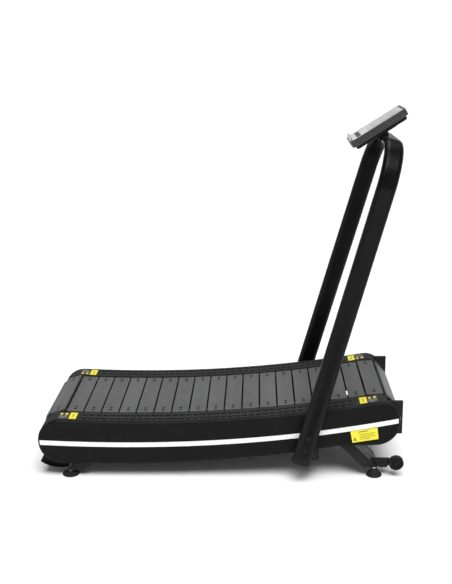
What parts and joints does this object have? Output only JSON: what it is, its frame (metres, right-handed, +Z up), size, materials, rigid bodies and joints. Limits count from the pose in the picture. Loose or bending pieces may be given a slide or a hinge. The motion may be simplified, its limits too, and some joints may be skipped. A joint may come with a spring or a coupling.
{
  "type": "curved manual treadmill",
  "caption": "Curved manual treadmill: a slat belt on two drums between covered side beams, with foot rails, levelling feet, transport wheels, a leaning handrail hoop and a tilted console.",
  "frame": {"origin": "on the floor, at the centre of the bounding box seen from above", "axes": "+X to the front where the hoop and console stand, +Y to the left-hand side of a runner, +Z up"},
  "size_m": [1.626, 0.793, 1.597],
  "materials": {
    "frame_paint": "satin black powder coat",
    "hoop_paint": "semi-gloss black paint",
    "cover_plastic": "moulded black, fine grain",
    "rail_plastic": "moulded black with grip pattern",
    "cap_rubber": "black",
    "slat_rubber": "mid grey, fine pebble grain",
    "screw_steel": "dull zinc",
    "belt_rubber": "black",
    "machined_steel": "machined",
    "pulley_iron": "cast and turned",
    "bearing_plastic": "black polyurethane tread",
    "console_shell": "charcoal with a faint violet tint",
    "console_back_plastic": "black",
    "console_screen": "glossy panel over a grey display",
    "console_key": "soft grey",
    "ledge_plastic": "milky translucent",
    "wheel_rubber": "black"
  },
  "bodies": {
    "frame": {"belly_pan": "frame_paint", "belt_slats": "slat_rubber", "console_back": "console_back_plastic", "console_bracket": "frame_paint", "console_housing": "console_shell", "console_ledge": "ledge_plastic", "console_screen": "console_screen", "cross_members": "frame_paint", "drive_belt_left": "belt_rubber", "drive_belt_right": "belt_rubber", "foot_lock_nuts": "machined_steel", "foot_rail_left": "rail_plastic", "foot_rail_right": "rail_plastic", "front_drum_bearings": "pulley_iron", "front_leg_left": "frame_paint", "front_leg_right": "frame_paint", "hoop_cross_tube": "frame_paint", "hoop_plate_left": "frame_paint", "hoop_plate_right": "frame_paint", "rear_drum_bearings": "pulley_iron", "rear_guard": "frame_paint", "rear_leg_left": "frame_paint", "rear_leg_right": "frame_paint", "side_beam_left": "frame_paint", "side_beam_right": "frame_paint", "side_cover_left": "cover_plastic", "side_cover_right": "cover_plastic", "slat_screws": "screw_steel", "top_bar": "hoop_paint", "track_bearings_left": "bearing_plastic", "track_bearings_right": "bearing_plastic", "track_rail_left": "frame_paint", "track_rail_right": "frame_paint", "track_studs": "machined_steel", "upright_bolts": "screw_steel", "upright_cap_left": "cap_rubber", "upright_cap_right": "cap_rubber", "upright_left": "hoop_paint", "upright_right": "hoop_paint", "wheel_axle_bolts": "screw_steel", "wheel_bracket_left": "frame_paint", "wheel_bracket_right": "frame_paint"},
    "front_drum": {"front_roller": "machined_steel", "front_pulleys": "pulley_iron"},
    "rear_drum": {"rear_roller": "machined_steel", "rear_pulleys": "pulley_iron"},
    "wheel_right": {"transport_wheel_right": "wheel_rubber"},
    "front_foot_right": {"front_foot_pad_right": "cap_rubber", "front_foot_stud_right": "machined_steel"},
    "rear_foot_right": {"rear_foot_pad_right": "cap_rubber", "rear_foot_stud_right": "machined_steel"},
    "wheel_left": {"transport_wheel_left": "wheel_rubber"},
    "front_foot_left": {"front_foot_pad_left": "cap_rubber", "front_foot_stud_left": "machined_steel"},
    "rear_foot_left": {"rear_foot_pad_left": "cap_rubber", "rear_foot_stud_left": "machined_steel"},
    "key_1": {"console_key_1": "console_key"},
    "key_2": {"console_key_2": "console_key"},
    "key_3": {"console_key_3": "console_key"}
  },
  "joints": [
    {"name": "front_drum_spin", "type": "hinge", "parent": "frame", "child": "front_drum", "pos_m": [0.697, 0, 0.262], "axis": [0, 1, 0], "continuous": true},
    {"name": "rear_drum_spin", "type": "hinge", "parent": "frame", "child": "rear_drum", "pos_m": [-0.72, 0, 0.187], "axis": [0, 1, 0], "continuous": true},
    {"name": "wheel_right_spin", "type": "hinge", "parent": "frame", "child": "wheel_right", "pos_m": [0.78, -0.317, 0.065], "axis": [0, 1, 0], "continuous": true},
    {"name": "wheel_left_spin", "type": "hinge", "parent": "frame", "child": "wheel_left", "pos_m": [0.78, 0.317, 0.065], "axis": [0, 1, 0], "continuous": true},
    {"name": "front_foot_right_screw", "type": "slide", "parent": "frame", "child": "front_foot_right", "axis": [0, 0, 1], "range_m": [-0.006, 0]},
    {"name": "front_foot_left_screw", "type": "slide", "parent": "frame", "child": "front_foot_left", "axis": [0, 0, 1], "range_m": [-0.006, 0]},
    {"name": "rear_foot_right_screw", "type": "slide", "parent": "frame", "child": "rear_foot_right", "axis": [0, 0, 1], "range_m": [-0.006, 0]},
    {"name": "rear_foot_left_screw", "type": "slide", "parent": "frame", "child": "rear_foot_left", "axis": [0, 0, 1], "range_m": [-0.006, 0]},
    {"name": "key_1_press", "type": "slide", "parent": "frame", "child": "key_1", "axis": [0.5299, 0, -0.848], "range_m": [0, 0.0012], "stiffness_N_per_m": 800, "springref_m": -0.0004},
    {"name": "key_2_press", "type": "slide", "parent": "frame", "child": "key_2", "axis": [0.5299, 0, -0.848], "range_m": [0, 0.0012], "stiffness_N_per_m": 800, "springref_m": -0.0004},
    {"name": "key_3_press", "type": "slide", "parent": "frame", "child": "key_3", "axis": [0.5299, 0, -0.848], "range_m": [0, 0.0012], "stiffness_N_per_m": 800, "springref_m": -0.0004}
  ],
  "couplings": [
    {"joint": "rear_drum_spin", "follows": "front_drum_spin", "ratio": 1.0974}
  ]
}
